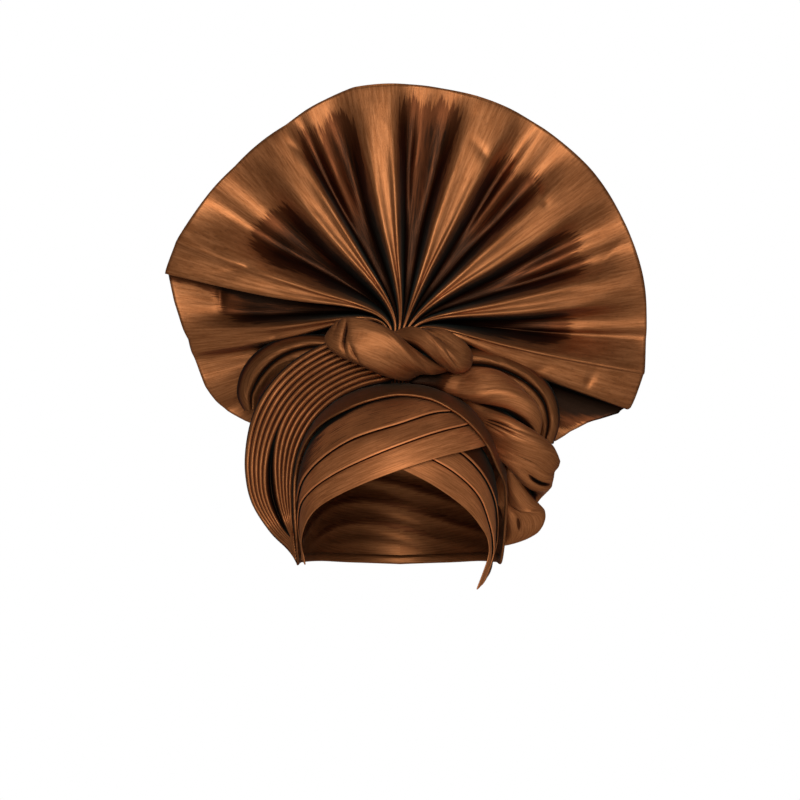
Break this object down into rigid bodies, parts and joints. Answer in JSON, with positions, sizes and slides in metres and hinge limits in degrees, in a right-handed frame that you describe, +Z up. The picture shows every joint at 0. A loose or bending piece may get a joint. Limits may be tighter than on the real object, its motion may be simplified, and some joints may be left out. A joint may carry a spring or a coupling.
{
  "type": "tied head wrap",
  "caption": "Tied fabric head wrap: close cap with crossed brow pleats, side ruff, tall pleated fan rising from a knot, and a twisted roll down one side.",
  "frame": {"origin": "middle of the head opening at the height of the hatband, just above the brows", "axes": "+Z up through the crown, -Y out of the forehead towards the viewer, +X to the viewer's right, which is the wearer's left"},
  "size_m": [0.3726, 0.2024, 0.3928],
  "materials": {
    "copper_taffeta": "satin",
    "shaded_taffeta": "satin"
  },
  "bodies": {
    "root": {"crown_cap": "shaded_taffeta", "brow_wrap_left": "copper_taffeta", "brow_wrap_right": "copper_taffeta", "side_ruff": "copper_taffeta", "fan": "copper_taffeta", "knot_left_lobe": "copper_taffeta", "knot_right_lobe": "copper_taffeta", "rope_strand_front": "copper_taffeta", "rope_strand_back": "copper_taffeta"}
  },
  "joints": []
}
